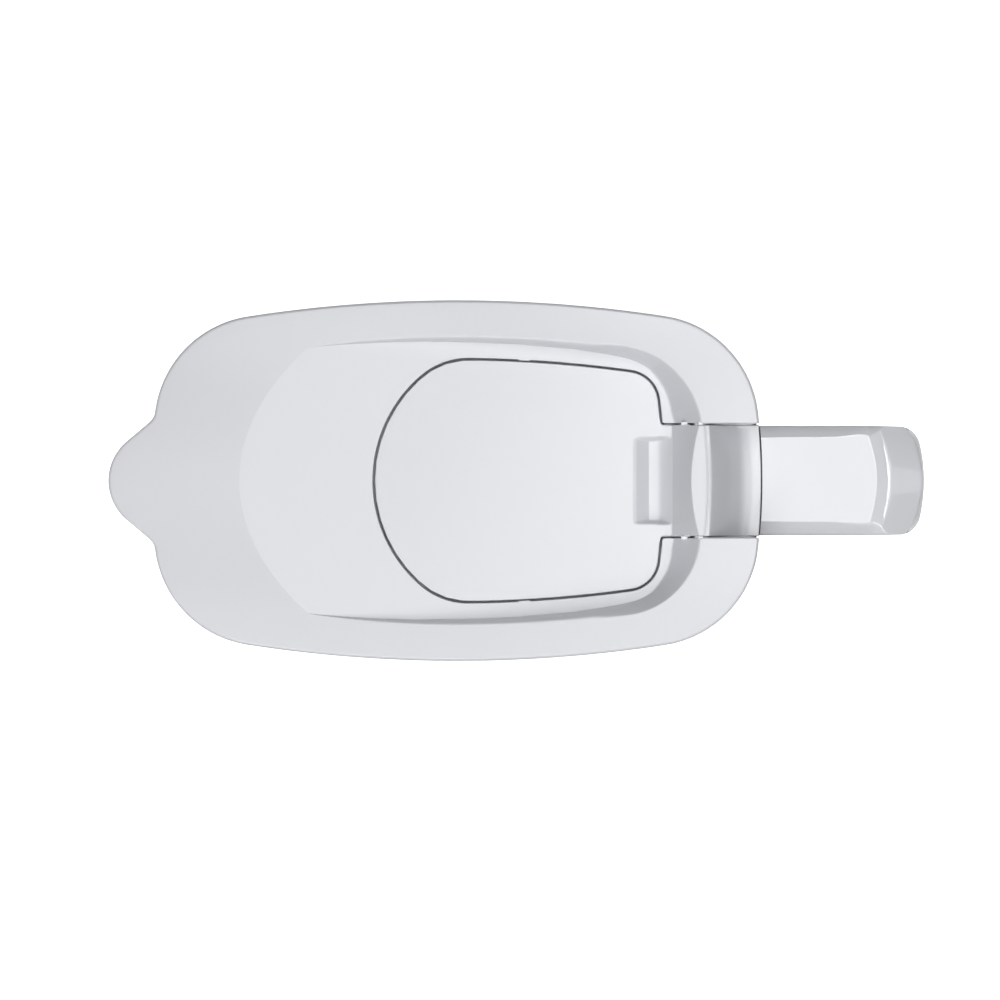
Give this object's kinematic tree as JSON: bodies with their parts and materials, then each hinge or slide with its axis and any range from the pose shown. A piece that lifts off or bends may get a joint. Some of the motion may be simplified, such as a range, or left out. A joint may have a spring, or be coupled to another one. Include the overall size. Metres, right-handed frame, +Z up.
{
  "type": "water filter jug",
  "caption": "Water filter jug with a crowned oval lid, push-to-open filling flap, D-handle, hanging funnel and drop-in cartridge.",
  "frame": {"origin": "middle of the overall box, at the level the foot ring stands on", "axes": "+Z up, +X from the pouring nose to the handle, +Y across the jug"},
  "size_m": [0.2699, 0.1192, 0.2619],
  "materials": {
    "clear_shell": "clear gloss moulded plastic",
    "soft_ring": "satin soft-touch",
    "white_gloss": "cool white gloss",
    "grip": "fine satin",
    "white_satin": "cool white satin",
    "pin_metal": "turned",
    "frosted": "smoky translucent plastic",
    "cartridge_white": "fine satin",
    "seal": "matte",
    "fleece": "non-woven",
    "resin": "granules",
    "carbon": "granules"
  },
  "bodies": {
    "jug": {"jug_body": "clear_shell", "base_ring": "soft_ring", "handle_cover": "white_gloss", "handle_grip": "grip"},
    "funnel": {"funnel": "frosted"},
    "cartridge": {"cartridge_body": "cartridge_white", "cartridge_outlet": "cartridge_white", "cartridge_seal": "seal", "cartridge_bottom_mesh": "fleece", "resin_bed": "resin", "cartridge_middle_mesh": "fleece", "carbon_bed": "carbon", "cartridge_top_mesh": "fleece", "cartridge_cap": "cartridge_white"},
    "pull_loop": {"cartridge_pull_loop": "cartridge_white"},
    "lid": {"lid_cover": "white_gloss", "lid_frame": "white_satin", "lid_skirt": "white_satin", "flap_pivot_pins": "pin_metal"},
    "flap": {"flap_cover": "white_gloss", "flap_liner": "white_satin"}
  },
  "joints": [
    {"name": "funnel_lift", "type": "slide", "parent": "jug", "child": "funnel", "axis": [0, 0, 1], "range_m": [0, 0.215]},
    {"name": "cartridge_lift", "type": "slide", "parent": "funnel", "child": "cartridge", "axis": [0, 0, 1], "range_m": [0, 0.21]},
    {"name": "lid_lift", "type": "slide", "parent": "cartridge", "child": "lid", "axis": [0, 0, 1], "range_m": [0, 0.05]},
    {"name": "flap_hinge", "type": "hinge", "parent": "lid", "child": "flap", "pos_m": [0.06, 0, 0.25], "axis": [0, 1, 0], "range_deg": [0, 40]},
    {"name": "pull_loop_hinge", "type": "hinge", "parent": "cartridge", "child": "pull_loop", "pos_m": [-0.01, 0, 0.1314], "axis": [0, -1, 0], "range_deg": [0, 85]}
  ]
}
